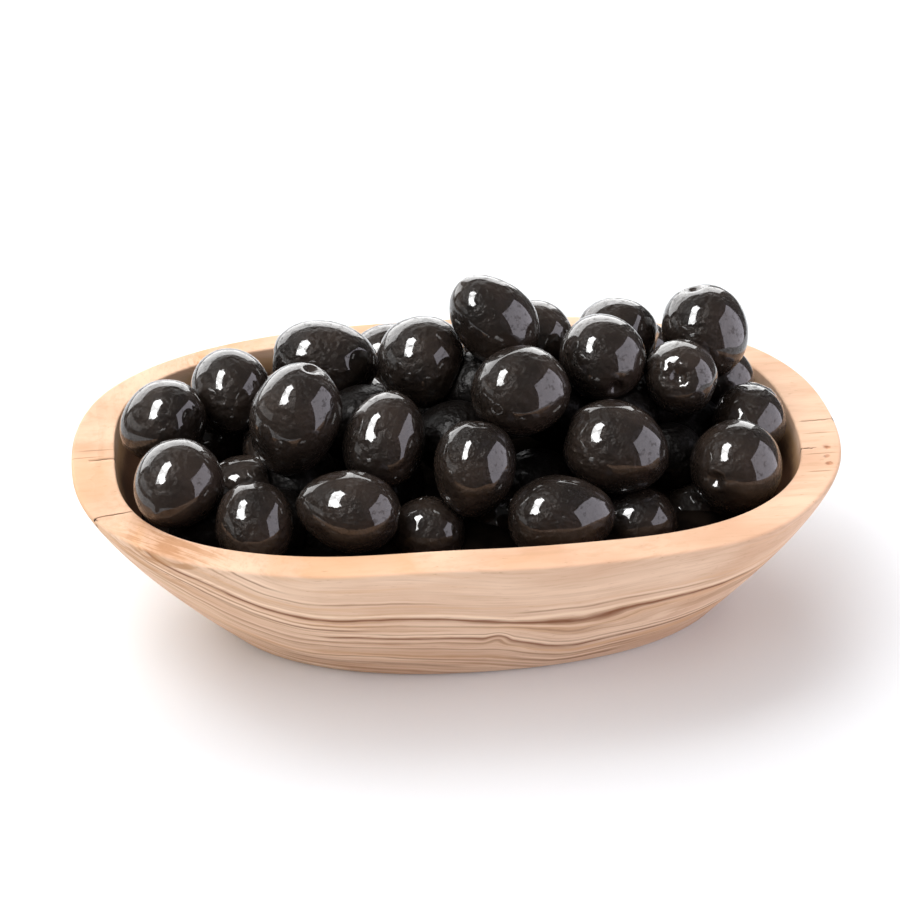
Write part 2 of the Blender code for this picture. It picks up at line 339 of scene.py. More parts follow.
# Studio: the lamps and panels, each with its place in metres, width, height and turn in its own
# plane, the brightness of its face with a white floor in full light at about 1, and its colour.
# The lamps light the set without being mirrored in it, and the panels are only mirrored.
WHITE = (1, 1, 1)
MAUVE = (0.93, 0.89, 1)
LAMPS = (
    ("key", (-0.5, -0.28, 0.82), 1.0, 0.9, 0, 2.1, WHITE),
    ("top", (-0.22, 0.45, 1.0), 1.2, 1.1, 0, 3.3, WHITE),
    ("back", (0, 1.3, 0.32), 2.6, 0.6, 0, 2.2, WHITE),
    ("left", (-1.2, -0.4, 0.24), 1.6, 0.45, 0, 1.5, WHITE),
    ("right", (0.86, -0.5, 0.32), 0.9, 0.8, 0, 2.7, MAUVE),
)
PANELS = (
    ("glint", (-0.54, -0.28, 0.82), 0.3, 0.76, 27, 19.0, WHITE),
    ("glint_above", (-0.42, -0.1, 0.97), 0.26, 0.3, 5, 19.0, WHITE),
    ("glint_below", (-0.6, -0.45, 0.73), 0.24, 0.36, 55, 19.0, WHITE),
    ("backdrop", (-0.2, 1.05, 0.45), 2.1, 0.8, 0, 4.4, WHITE),
    ("left_panel", (-1.3, 0, 0.22), 1.3, 0.3, 0, 0.9, WHITE),
    ("right_panel", (0.85, -0.29, 0.12), 1.26, 1.3, 0, 3.1, MAUVE),
)

# Camera: it stands to the left of the middle and looks down at the dish
VIEW_TURN = 7.6
VIEW_DROP = 30.0
VIEW_DISTANCE = 562.5 * MM
LENS = 100
SENSOR = 36
AIM_LEFT = 1.52 * MM
AIM_BELOW = 3.36 * MM
CLIP_NEAR = 0.01
CLIP_FAR = 20


def between(start, end, share):
    return start + (end - start) * share


class Value:
    """A socket that takes part in sums as a number does."""

    def __init__(self, tree, socket):
        self.tree = tree
        self.socket = socket

    def maths(self, operation, *values):
        node = self.tree.nodes.new("ShaderNodeMath")
        node.operation = operation
        for place, value in zip(node.inputs, values):
            join(self.tree, value, place)
        return Value(self.tree, node.outputs[0])

    def __add__(self, other):
        return self.maths("ADD", self, other)

    def __sub__(self, other):
        return self.maths("SUBTRACT", self, other)

    def __rsub__(self, other):
        return self.maths("SUBTRACT", other, self)

    def __mul__(self, other):
        return self.maths("MULTIPLY", self, other)

    def __abs__(self):
        return self.maths("ABSOLUTE", self)

    __radd__ = __add__
    __rmul__ = __mul__

    def fraction(self):
        return self.maths("FRACT", self)

    def smallest(self, other):
        return self.maths("MINIMUM", self, other)


def join(tree, value, place):
    """Links a value or another socket to a socket, or sets a plain number or colour on it."""
    if isinstance(value, Value):
        tree.links.new(value.socket, place)
    elif isinstance(value, (tuple, list)) and len(value) == 3 and place.type == "RGBA":
        place.default_value = (*value, 1)
    else:
        place.default_value = value


class Finish:
    """A material in the making."""

    def __init__(self, name):
        self.material = bpy.data.materials.new(name)
        self.material.use_nodes = True
        self.tree = self.material.node_tree
        self.shader = self.tree.nodes["Principled BSDF"]

    def node(self, kind, settings=None, values=None, output=0):
        """Any node: its settings first, then the values or links of its sockets."""
        node = self.tree.nodes.new("ShaderNode" + kind)
        for name, setting in (settings or {}).items():
            if name == "stops":
                self.set_stops(node.color_ramp, setting)
            else:
                setattr(node, name, setting)
        for name, value in (values or {}).items():
            join(self.tree, value, node.inputs[name])
        return Value(self.tree, node.outputs[output])

    def set_stops(self, ramp, stops):
        while len(ramp.elements) < len(stops):
            ramp.elements.new(1)
        for element, (position, colour) in zip(ramp.elements, stops):
            element.position = position
            element.color = (*colour, 1)

    def place(self):
        """The place on the piece in millimetres, as three values."""
        point = self.node("TexCoord", output="Object")
        scaled = self.node("VectorMath", {"operation": "SCALE"}, {0: point, "Scale": 1 / MM})
        split = self.node("SeparateXYZ", values={0: scaled})
        return [Value(self.tree, socket) for socket in split.socket.node.outputs]

    def mark(self, name):
        """A mark from 0 to 1 that the mesh carries at its points."""
        return self.node("Attribute", {"attribute_name": name}, output="Fac")

    def vector(self, along, across, up):
        return self.node("CombineXYZ", values={0: along, 1: across, 2: up})

    def distance(self, place, middle, stretch):
        """How far a place is from a middle in millimetres, with each axis stretched."""
        away = [(value - start) * by for value, start, by in zip(place, middle, stretch)]
        values = {0: self.vector(*away)}
        return self.node("VectorMath", {"operation": "LENGTH"}, values, output="Value")

    def grain(self, vector, scale, detail=2.0, roughness=0.5, warp=0.0):
        """Noise from 0 to 1, with a middle of 0.5."""
        values = {
            "Vector": vector,
            "Scale": scale,
            "Detail": detail,
            "Roughness": roughness,
            "Distortion": warp,
        }
        return self.node("TexNoise", values=values)

    def step(self, value, start, end, low=0.0, high=1.0):
        """A smooth climb from low to high as the value goes from start to end."""
        settings = {"interpolation_type": "SMOOTHSTEP"}
        values = {0: value, 1: start, 2: end, 3: low, 4: high}
        return self.node("MapRange", settings, values)

    def blend(self, share, first, second, way="MIX"):
        settings = {"data_type": "RGBA", "blend_type": way}
        return self.node("Mix", settings, {0: share, 6: first, 7: second}, output=2)

    def bump(self, height, strength, distance):
        values = {"Height": height, "Strength": strength, "Distance": distance}
        return self.node("Bump", values=values)

    def set(self, name, value):
        join(self.tree, value, self.shader.inputs[name])


def growth_layers(wood, place):
    """The growth layer at a place, in millimetres.

    The layers lie level but for a sweep up at the left end, a slow rise and dips, the eye, the
    kink and the knot, and all the lines of the wood follow them.
    """
    along, across, up = place
    slow = wood.grain(wood.vector(along * 0.02, across * 0.03, up * 0.04), 1.0, 1.0)
    wander = wood.grain(wood.vector(along * 0.08, across * 0.1, up * 0.16), 1.0, 2.0)
    sweep = wood.step(along, -36, -84, 0, 20)
    dip = wood.step(along, -30, 5, 0, 2.5)
    sag = wood.step(along, 0, 22) * wood.step(up, 26, 14, 0, 6)
    rise = wood.step(along, 10, 50, 0, 2.4)
    kink = wood.step(abs(along - KINK_PLACE[0]), 3.5, 0, 0, 1.7)
    kink = kink * wood.step(abs(up - KINK_PLACE[1]), 5, 0)
    layer = up - sweep + dip + sag - rise - kink + (slow - 0.5) * 3 + (wander - 0.5) * 1.6
    eye = wood.step(wood.distance(place, EYE_PLACE, EYE_STRETCH), 4, 0, 0, 2.2)
    knot = wood.step(wood.distance(place, KNOT_PLACE, KNOT_STRETCH), 11, 0, 0, 2)
    return layer + eye + knot


def strong_lines(wood, along, across, layer):
    """The strong lines: how dark a place is for them, and how much painted highlight lies along
    their upper edges.
    """
    dark = 0.0
    light = 0.0
    for level, start, end, width, strength in GROWTH_LINES:
        ends = wood.step(along, start, start + LINE_FADE) * wood.step(along, end, end - LINE_FADE)
        above = layer - level
        dark = wood.step(abs(above), width, 0, 0, strength) * ends + dark
        light = wood.step(abs(above - HIGHLIGHT_RISE * width), width, 0, 0, strength) * ends + light
    ragged = wood.grain(wood.vector(along * 0.12, across * 0.1, layer * 1.3), 1.0, 2.0)
    ragged = wood.step(ragged, 0.32, 0.55, 0.6, 1) * (1 - wood.mark("rim"))
    return dark.smallest(1) * ragged, light.smallest(1) * ragged


def fine_lines(wood, along, across, layer, low_down):
    """The many fine lines of the lower layers, unevenly spaced, and fading in and out."""
    spacing = wood.grain(wood.vector(layer * 0.3, 7.0, along * 0.004), 1.0, 2.0)
    turns = (spacing * 6 - layer * 0.55).fraction()
    fade = wood.grain(wood.vector(along * 0.03, layer * 0.5, across * 0.02 + 9), 1.0, 2.0)
    fine = wood.step(turns, 0.5, 1.0) * wood.step(fade, 0.38, 0.62) * low_down
    return fine * (1 - wood.mark("rim") * 0.8)


def soft_streaks(wood, along, across, layer, low_down):
    """How much of a pale and of a brown streak a place has, mostly in the lower layers."""
    streak = wood.grain(wood.vector(along * 0.02, across * 0.02, layer * 0.75), 1.0, 4.0, 0.7)
    streaked = low_down * (1 - wood.mark("rim") * 0.7)
    return wood.step(streak, 0.53, 0.66) * streaked, wood.step(streak, 0.47, 0.34) * streaked


def stains(wood, place, fibre):
    """The curled streaks round the knot, and the stains on the rim at the back."""
    along, across, up = place
    turn = math.radians(KNOT_TURN)
    round_rim = along * math.cos(turn) - across * math.sin(turn)
    over_rim = along * math.sin(turn) + across * math.cos(turn)
    curl = wood.grain(wood.vector(round_rim * 0.09, over_rim * 0.75, up * 0.3), 1.0, 3.0, 0.6, 0.8)
    knot_away = wood.distance(place, KNOT_PLACE, KNOT_STRETCH)
    stain = wood.step(knot_away, KNOT_REACH, 3) * wood.step(curl, 0.46, 0.62)
    stain = wood.step(knot_away, KNOT_CORE, 1.2) * wood.step(curl, 0.3, 0.5) + stain
    for place_along, place_across, reach in RIM_STAINS:
        away = wood.distance(place, (place_along, place_across, 0), STAIN_STRETCH)
        spot = wood.step(away, reach, 0) * wood.step(fibre, 0.35, 0.6)
        stain = spot * wood.mark("rim") * 0.8 + stain
    return stain.smallest(1)


def rim_lines(wood, along, across, patch):
    """The faint lines across the top of the rim."""
    mark = 0.0
    for level, start, end, width in RIM_LINES:
        near = wood.step(abs(across - level + (patch - 0.5) * 2), width, 0)
        mark = wood.step(abs(along - (start + end) / 2), (end - start) / 2, 0, 0, 2) * near + mark
    return mark.smallest(1) * wood.mark("rim")


def soaked_and_shaded(wood, colour, depth):
    """The wood of the hollow, brown with oil and nearly black further down with painted shade, and
    painted shade in the cracks.
    """
    colour = wood.blend(wood.step(depth, 0.06, 0.25, 0, 0.78), colour, WOOD_OILED)
    # Painted shade: further down the hollow turns nearly black over the oil stain.
    colour = wood.blend(wood.step(depth, 0.16, 0.46, 0, 0.95), colour, WOOD_SOAKED_AND_SHADED)
    # Painted shade: the sides of the cracks are made nearly black.
    return wood.blend(wood.mark("split"), colour, WOOD_SOAKED_AND_SHADED)


def wood_finish():
    """Olive wood: pale and plain above, with finely lined growth layers below."""
    wood = Finish("olive_wood")
    place = wood.place()
    along, across, up = place
    layer = growth_layers(wood, place)
    low_down = wood.step(layer, *LINED_LEVELS, 0.12, 1)
    dark, light = strong_lines(wood, along, across, layer)
    fine = fine_lines(wood, along, across, layer, low_down)
    pale_streak, brown_streak = soft_streaks(wood, along, across, layer, low_down)
    fibre = wood.grain(wood.vector(along * 0.05, across * 0.4, layer * 1.6), 1.0, 3.0, 0.65)
    patch = wood.grain(wood.vector(along * 0.03, across * 0.07, layer * 0.09), 1.0, 3.0)
    warm = wood.grain(wood.vector(along * 0.012, across * 0.02, layer * 0.3 + 40), 1.0, 2.0)
    pore = wood.grain(wood.vector(along * 0.3, across * 2.2, layer * 3.4), 1.0, 1.0)
    pore = wood.step(pore, 0.7, 0.77)
    mark = rim_lines(wood, along, across, patch)

    stops = ((0.32, WOOD_DEEP), (0.5, WOOD_MIDDLE), (0.68, WOOD_PALE))
    colour = wood.node("ValToRGB", {"stops": stops}, {0: patch})
    # Darker towards the base: the browner lower wood together with painted shade.
    colour = wood.blend(wood.step(layer, 26, 6, 0, 0.3), colour, WOOD_LOW_AND_SHADE)
    colour = wood.blend(wood.step(fibre, 0.42, 0.75, 0, 0.34), colour, WOOD_FIBRE)
    colour = wood.blend(wood.step(warm, 0.5, 0.68, 0, 0.6), colour, WOOD_WARM)
    colour = wood.blend(brown_streak * 0.65, colour, WOOD_FIBRE)
    # Pale streaks of the wood.
    colour = wood.blend(pale_streak * 0.5, colour, WOOD_PALE_AND_HIGHLIGHT)
    colour = wood.blend(fine * 0.52, colour, WOOD_LINE)
    # Painted highlight along the upper edge of each strong line.
    colour = wood.blend(light * 0.75, colour, WOOD_PALE_AND_HIGHLIGHT)
    colour = wood.blend(dark, colour, WOOD_DARK)
    colour = wood.blend(pore * 0.35, colour, WOOD_LINE)
    colour = wood.blend(stains(wood, place, fibre) * 0.65, colour, WOOD_STAIN)
    # Painted light: the top of the rim is made paler and a little warmer, as lit from above.
    colour = wood.blend(wood.mark("rim"), colour, WOOD_RIM_TINT_AND_LIGHT, "MULTIPLY")
    colour = wood.blend(mark * 0.6, colour, WOOD_LINE)
    # The hollow is stained with oil near the top and painted with shade further down.
    depth = wood.mark("oiled") * wood.step(patch + fibre * 0.3, 0.4, 0.85, 1.15, 0.85)
    wood.set("Base Color", soaked_and_shaded(wood, colour, depth))
    wood.set("Roughness", 0.62 - wood.step(depth, 0, 0.6, 0, 0.2) + fibre * 0.12)
    wood.set("Specular IOR Level", 0.07)
    relief = fibre * 0.2 + light * 0.1 - dark * 0.15 - fine * 0.06 - pore * 0.2 - mark * 0.3
    wood.set("Normal", wood.bump(relief, 0.5, 0.3 * MM))
    return wood.material


def skin_finish():
    """Black olive skin, wet with oil and a little grainy, with painted shade on the olives that
    show only in the gaps.
    """
    skin = Finish("olive_skin")
    along, across, up = skin.place()
    point = skin.vector(along, across, up)
    wrinkled = skin.mark("wrinkled")
    wet = skin.mark("wet")
    mottle = skin.grain(point, 0.09, 3.0)
    film = skin.grain(point, 0.75, 3.0, 0.65)
    ripple = skin.grain(point, 0.5, 1.0)
    grainy = skin.grain(point, 1.5, 1.5)
    colour = skin.blend(skin.step(mottle, 0.3, 0.7), SKIN_DARK, SKIN_BROWN)
    colour = skin.blend(skin.step(film, 0.6, 0.75) * 0.3, colour, SKIN_DUSTY)
    # Painted shade: the olives in the gaps are darkened nearly to black.
    colour = skin.blend(wet, SKIN_SHADED, colour)
    skin.set("Base Color", colour)
    skin.set("Roughness", 0.35 + mottle * 0.2)
    skin.set("Specular IOR Level", 0.08)
    skin.set("Coat Weight", wet * skin.step(film, 0.36, 0.45, 0.5, 1.0))
    skin.set("Coat Roughness", 0.03)
    height = ripple * (2.1 + wrinkled * 1.1) + grainy * (0.5 + wrinkled * 0.7)
    skin.set("Normal", skin.bump(height, 0.7, 0.45 * MM))
    return skin.material


def heart_finish():
    """The dull filling, painted nearly black as the shade in the gaps between the olives, where
    alone it shows.
    """
    heart = Finish("heap_shade")
    along, across, up = heart.place()
    mottle = heart.grain(heart.vector(along, across, up), 0.15, 2.0)
    heart.set("Base Color", heart.blend(heart.step(mottle, 0.35, 0.65), SKIN_SHADED, SKIN_DARK))
    heart.set("Roughness", 0.5 + mottle * 0.3)
    heart.set("Specular IOR Level", 0.0)
    return heart.material


def floor_finish():
    floor = Finish("pale_floor")
    along, across, up = floor.place()
    cloud = floor.grain(floor.vector(along, across, up), 0.004, 2.0)
    floor.set("Base Color", floor.blend(cloud, *FLOOR_COLOURS))
    floor.set("Roughness", 0.7)
    floor.set("Specular IOR Level", 0.1)
    floor.set("Emission Color", WHITE)
    floor.set("Emission Strength", FLOOR_GLOW)
    return floor.material


def deselect():
    bpy.ops.object.select_all(action="DESELECT")


def rim_wave(direction):
    """How far the rim stands out from its even outline, in a direction in degrees."""
    wave = 0.0
    for depth, middle, spread in RIM_WAVES:
        wave += depth * math.exp(-(((direction - middle) / spread) ** 2))
    return wave


def oblong(half_length, half_width, squareness, height, shift, wave, sides):
    """The points of one level section, a rounded oblong that takes a share of the rim's waves."""
    points = []
    for step in range(sides):
        turn = 2 * math.pi * step / sides
        along = math.copysign(abs(math.cos(turn)) ** (2 / squareness), math.cos(turn))
        across = math.copysign(abs(math.sin(turn)) ** (2 / squareness), math.sin(turn))
        point = Vector((half_length * along, half_width * across, 0))
        direction = math.degrees(math.atan2(point.y, point.x))
        point += point.normalized() * rim_wave(direction) * wave
        points.append(point + shift + Vector((0, 0, height)))
    return points


def wall_section(drop, inset=0.0):
    """The outside of the dish, from the rim at drop 0 to the base at drop 1."""
    lean = drop**LEAN_POWER
    return oblong(
        LENGTH / 2 - END_LEAN * lean - inset,
        WIDTH / 2 - SIDE_LEAN * lean - inset,
        between(RIM_SQUARENESS, BASE_SQUARENESS, drop),
        (HEIGHT - OUTER_EDGE) * (1 - drop),
        BASE_SHIFT * lean,
        1 - drop,
        DISH_SIDES,
    )


def rim_section(share, inset, below=0.0):
    """The rim at a share of the way from its outer to its inner edge, set in and lowered."""
    return oblong(
        LENGTH / 2 - END_BAND * share - inset,
        WIDTH / 2 - SIDE_BAND * share - inset,
        between(RIM_SQUARENESS, HOLLOW_SQUARENESS, share),
        HEIGHT - below,
        HOLLOW_SHIFT * share,
        between(1, HOLLOW_WAVE, share),
        DISH_SIDES,
    )


def hollow_size(height):
    """Half the length and half the width of the hollow at a height. Its profile is an ellipse."""
    rise = (height - FLOOR_THICKNESS) / (HEIGHT - FLOOR_THICKNESS)
    spread = math.sqrt(max(0.0, 1 - (1 - rise) ** 2))
    return (LENGTH / 2 - END_BAND) * spread, (WIDTH / 2 - SIDE_BAND) * spread


def hollow_section(height, gap, sides):
    half_length, half_width = hollow_size(height)
    return oblong(
        half_length - gap,
        half_width - gap,
        HOLLOW_SQUARENESS,
        height + gap,
        HOLLOW_SHIFT,
        HOLLOW_WAVE * height / HEIGHT,
        sides,
    )


def loft(name, sections):
    """A closed skin through rings of points: a filled circle, set on the first and extruded on."""
    deselect()
    bpy.ops.mesh.primitive_circle_add(vertices=len(sections[0]), radius=1, fill_type="NGON")
    piece = bpy.context.object
    piece.name = name
    bpy.ops.object.mode_set(mode="EDIT")
    bpy.ops.mesh.select_all(action="SELECT")
    set_ring(piece, sections[0])
    for points in sections[1:]:
        bpy.ops.mesh.extrude_region_move()
        set_ring(piece, points)
    bpy.ops.mesh.select_all(action="SELECT")
    bpy.ops.mesh.normals_make_consistent(inside=False)
    bpy.ops.mesh.select_all(action="DESELECT")
    bpy.ops.object.mode_set(mode="OBJECT")
    piece.data.shade_smooth()
    return piece


def set_ring(piece, points):
    """Sets the selected ring on the points, in the order in which they go round."""
    shape = bmesh.from_edit_mesh(piece.data)
    face = next(face for face in shape.faces if face.select)
    order = [corner.vert for corner in face.loops]
    for vertex, point in zip(order, points):
        vertex.co = point
    bmesh.update_edit_mesh(piece.data)


def dish_sections():
    """Up the outside, over the rim and down into the hollow."""
    sections = []
    for step in range(EDGE_STEPS + 1):
        turn = math.pi / 2 * step / EDGE_STEPS
        height_share = BASE_ROUNDING / HEIGHT * (1 - math.cos(turn))
        sections.append(wall_section(1 - height_share, BASE_ROUNDING * (1 - math.sin(turn))))
    lowest = 1 - BASE_ROUNDING / HEIGHT
    for step in range(1, WALL_STEPS + 1):
        sections.append(wall_section(between(lowest, 0, step / WALL_STEPS)))
    for step in range(1, EDGE_STEPS + 1):
        turn = math.pi / 2 * step / EDGE_STEPS
        inset = OUTER_EDGE * (1 - math.cos(turn))
        sections.append(rim_section(0, inset, OUTER_EDGE * (1 - math.sin(turn))))
    for step in range(1, RIM_STEPS):
        share = step / RIM_STEPS
        sections.append(rim_section(share, between(OUTER_EDGE, -INNER_EDGE, share)))
    for step in range(EDGE_STEPS + 1):
        turn = math.pi / 2 * step / EDGE_STEPS
        inset = -INNER_EDGE * (1 - math.sin(turn))
        sections.append(rim_section(1, inset, INNER_EDGE * (1 - math.cos(turn))))
    top = HEIGHT - INNER_EDGE
    for step in range(1, HOLLOW_STEPS):
        turn = math.pi / 2 * (1 - step / HOLLOW_STEPS)
        height = between(FLOOR_THICKNESS, top, 1 - math.cos(turn))
        sections.append(hollow_section(height, 0, DISH_SIDES))
    return sections


def mark_surfaces(piece):
    """Marks the top of the rim, how deep a point is in the hollow for its oil stain and painted
    shade, and the cracks' sides.
    """
    mesh = piece.data
    rim = [0.0] * len(mesh.vertices)
    oiled = [0.0] * len(mesh.vertices)
    split = [0.0] * len(mesh.vertices)
    for number, vertex in enumerate(mesh.vertices):
        place = vertex.co
        outward = Vector((place.x, place.y, 0)).normalized()
        lean = vertex.normal.dot(outward)
        below = HEIGHT - place.z
        if below < RIM_EDGE and lean < RIM_LEAN:
            rim[number] = 1.0
        if lean < INSIDE_LEAN and place.z > BASE_ROUNDING:
            oiled[number] = min(1.0, max(0.0, below - INNER_EDGE / 2) / OIL_AND_SHADE_DEPTH)
        # The sides of the cracks are marked for painted shade.
        if CRACK_LEVELS[0] < below < CRACK_LEVELS[1]:
            if min(crack_distance(place, crack) for crack in CRACKS) < CRACK_REACH:
                split[number] = 1.0
                oiled[number] = 0.0
    for name, values in (("rim", rim), ("oiled", oiled), ("split", split)):
        marks = mesh.attributes.new(name, "FLOAT", "POINT")
        marks.data.foreach_set("value", values)


def crack_distance(place, crack):
    """How far a place is from a crack, as seen from above."""
    start = Vector(crack[0:2]) * MM
    end = Vector(crack[2:4]) * MM
    share = (place.xy - start).dot(end - start) / (end - start).length_squared
    return (place.xy - start.lerp(end, min(1.0, max(0.0, share)))).length


def cut(piece, tool):
    deselect()
    piece.select_set(True)
    bpy.context.view_layer.objects.active = piece
    cutting = piece.modifiers.new("cut", "BOOLEAN")
    cutting.operation = "DIFFERENCE"
    cutting.solver = "EXACT"
    cutting.object = tool
    bpy.ops.object.modifier_apply(modifier=cutting.name)
    bpy.data.objects.remove(tool)


def cut_cracks(dish):
    """Saws each crack with a thin wavy blade that stands in the top of the rim."""
    for start_along, start_across, end_along, end_across, width, depth in CRACKS:
        start = Vector((start_along, start_across, 0)) * MM
        end = Vector((end_along, end_across, 0)) * MM
        deselect()
        bpy.ops.mesh.primitive_cube_add(size=1, location=(0, 0, 0))
        blade = bpy.context.object
        bpy.ops.object.mode_set(mode="EDIT")
        bpy.ops.mesh.subdivide(number_cuts=CRACK_CUTS)
        bpy.ops.object.mode_set(mode="OBJECT")
        across = Vector((start.y - end.y, end.x - start.x, 0)).normalized()
        for vertex in blade.data.vertices:
            share = vertex.co.x + 0.5
            taper = 1 - CRACK_TAPER * (2 * share - 1) ** 2
            waver = noise.noise(Vector((share * CRACK_BENDS, start_across, 0))) * CRACK_WAVER
            side = vertex.co.y * width * MM * taper + waver
            height = HEIGHT + 2 * vertex.co.z * depth * MM * taper
            vertex.co = start.lerp(end, share) + across * side + Vector((0, 0, height))
        cut(dish, blade)


def cut_chips(dish):
    """Small holes where bits of the rim have broken out."""
    for along, across, radius in CHIPS:
        deselect()
        place = (along * MM, across * MM, HEIGHT + CHIP_RISE * radius * MM)
        bpy.ops.mesh.primitive_ico_sphere_add(subdivisions=3, radius=radius * MM, location=place)
        bpy.ops.object.transform_apply(location=True)
        ball = bpy.context.object
        for vertex in ball.data.vertices:
            vertex.co += noise.noise_vector(vertex.co / CHIP_SPAN) * CHIP_ROUGHNESS
        cut(dish, ball)


def carve(piece):
    """Moves the surface a little in and out, as hand carving leaves it."""
    for vertex in piece.data.vertices:
        wave = noise.noise_vector(vertex.co / CARVING_SPAN)
        away = Vector((wave.x, wave.y, 0))
        fade = min(1.0, vertex.co.z / CARVING_FADE)
        vertex.co += away * CARVING_DEPTH * fade


def make_dish(finish):
    dish = loft("carved_dish", dish_sections())
    noise.seed_set(CARVING_SEED)
    carve(dish)
    cut_cracks(dish)
    cut_chips(dish)
    mark_surfaces(dish)
    dish.data.materials.append(finish)
    return dish


def hump_height(along, across):
    """How far the heart stands up at a place, as a layer of olives packed side by side would."""
    best = 0.0
    row_spacing = HUMP_SPACING * math.sqrt(3) / 2
    row = round(across / row_spacing)
    for near_row in (row - 1, row, row + 1):
        offset = 0.5 * (near_row % 2)
        column = round(along / HUMP_SPACING - offset)
        for near_column in (column - 1, column, column + 1):
            middle_along = (near_column + offset) * HUMP_SPACING
            away = math.hypot(along - middle_along, across - near_row * row_spacing)
            share = 1 - (2 * away / HUMP_SPACING) ** 2 * HUMP_ROUNDNESS
            best = max(best, math.sqrt(max(0.0, share)))
    return best * HUMP_HEIGHT


def heart_sections():
    """Up the inside of the hollow, a little clear of it, and then inwards over a lumpy crown."""
    sections = []
    for step in range(1, HEART_STEPS + 1):
        turn = math.pi / 2 * step / HEART_STEPS
        height = between(FLOOR_THICKNESS, HEART_TOP, 1 - math.cos(turn))
        sections.append(hollow_section(height, FIT_GAP, HEART_SIDES))
    half_length, half_width = hollow_size(HEART_TOP)
    for step in range(1, CROWN_STEPS + 1):
        reach = 1 - step / (CROWN_STEPS + 1)
        points = oblong(
            (half_length - FIT_GAP) * reach,
            (half_width - FIT_GAP) * reach,
            HOLLOW_SQUARENESS,
            HEART_TOP - HUMP_HEIGHT + CROWN * (1 - reach**2),
            HOLLOW_SHIFT,
            0,
            HEART_SIDES,
        )
        for point in points:
            point.z += hump_height(point.x, point.y) + FIT_GAP
        sections.append(points)
    return sections


def make_heart(finish):
    """The filling under the loose olives."""
    heart = loft("heap_heart", heart_sections())
    heart.data.materials.append(finish)
    return heart


def gather_rings(angle):
    """Draws the rings of the ball towards its two ends, where the finer forms are."""
    return angle - RINGS_TO_ENDS * math.sin(2 * angle)


def model_olive():
    """A ball 1 across, with its poles at the ends of the olive: every olive is a copy of it."""
    deselect()
    bpy.ops.mesh.primitive_uv_sphere_add(
        segments=OLIVE_SIDES, ring_count=OLIVE_RINGS, radius=0.5
    )
    olive = bpy.context.object
    olive.name = "olive"
    for vertex in olive.data.vertices:
        angle = gather_rings(math.acos(max(-1, min(1, 2 * vertex.co.z))))
        round_it = math.atan2(vertex.co.y, vertex.co.x)
        vertex.co = 0.5 * Vector(
            (
                math.sin(angle) * math.cos(round_it),
                math.sin(angle) * math.sin(round_it),
                math.cos(angle),
            )
        )
    olive.data.shade_smooth()
    return olive


def bell(distance, radius):
    return math.exp(-((distance / radius) ** 2))


def stem_form(from_axis, turn, wrinkles, number):
    """How far the skin moves along the axis near the stem end."""
    lip = LIP_HEIGHT * bell(from_axis - LIP_RADIUS, LIP_WIDTH)
    lip *= 1 + LIP_UNEVENNESS * math.sin(3 * turn + number)
    depth = between(*SHOULDER_DEPTHS, wrinkles) * bell(from_axis, SHOULDER_RADIUS)
    pit_radius = between(*PIT_RADII, wrinkles)
    depth += between(*PIT_DEPTHS, wrinkles) * bell(from_axis, pit_radius)
    around = Vector((math.cos(turn), math.sin(turn), number)) * CREASES_ROUND
    crease = max(0.0, 1 - CREASE_SHARPNESS * abs(noise.noise(around)))
    crease *= bell(from_axis - LIP_RADIUS, CREASE_REACH)
    return lip - depth - between(*CREASE_DEPTHS, wrinkles) * crease


def tip_form(from_axis):
    """How far the skin stands out along the axis near the tip."""
    return TIP_HEIGHT * bell(from_axis, TIP_RADIUS)


def shape_olive(olive, length, width, wrinkles, number):
    """Gives one copy its size, taper, stem pit, tip and uneven skin, still upright."""
    seed = Vector([number * step for step in SKIN_STEPS])
    for vertex in olive.data.vertices:
        direction = vertex.co * 2
        place = Vector((vertex.co.x * width, vertex.co.y * width, vertex.co.z * length))
        swell = 1 + TAPER * direction.z - TAPER * 0.5 * direction.z**2
        place.x *= swell
        place.y *= swell
        from_axis = math.hypot(place.x, place.y)
        turn = math.atan2(place.y, place.x)
        lumps = noise.noise(place / LUMP_SPAN + seed)
        folds = Vector((place.x, place.y, place.z / WRINKLE_STRETCH)) / WRINKLE_SPAN
        fold = 1 - 2 * abs(noise.noise(folds + seed))
        place += direction * (LUMP_HEIGHT * lumps + WRINKLE_HEIGHT * wrinkles * fold)
        if wrinkles == FOLD_WRINKLES:
            place -= direction * FOLD_DEPTH * bell(place.z - length * FOLD_PLACE, FOLD_WIDTH)
        if direction.z > 0:
            place.z += stem_form(from_axis, turn, wrinkles, number)
        else:
            place.z -= tip_form(from_axis)
        vertex.co = place


def olive_rows():
    """Every olive as its place, length, width, turn, tilt and wrinkles, in metres and degrees."""
    rows = []
    for along, across, up, length, width, turn, tilt, wrinkles in LAID_OLIVES:
        place = Vector((along, across, up)) * MM
        rows.append((place, length * MM, width * MM, turn, tilt, wrinkles))
    draw = random.Random(DRAW_SEED)
    for number in range(BACK_COUNT):
        along = BACK_START + BACK_STEP * number
        up = draw.uniform(*BACK_LEVELS)
        half_length, half_width = hollow_size(up)
        bend = 1 - (abs(along) / half_length) ** HOLLOW_SQUARENESS
        wall = half_width * bend ** (1 / HOLLOW_SQUARENESS)
        length = draw.uniform(*OLIVE_LENGTHS)
        width = draw.uniform(*OLIVE_WIDTHS)
        place = Vector((along, wall + HOLLOW_SHIFT.y - BACK_CLEARANCE, up))
        turn = -BACK_TURN * along / half_length
        rows.append((place, length, width, turn, 0, BACK_WRINKLES))
    for place in LAYER_PLACES:
        length = draw.uniform(*OLIVE_LENGTHS)
        width = draw.uniform(*OLIVE_WIDTHS)
        turn = draw.uniform(0, 180)
        rows.append((Vector(place) * MM, length, width, turn, 0, LAYER_WRINKLES))
    return rows


def turned(turn, tilt):
    return Euler((0, math.radians(90 - tilt), math.radians(turn))).to_matrix()


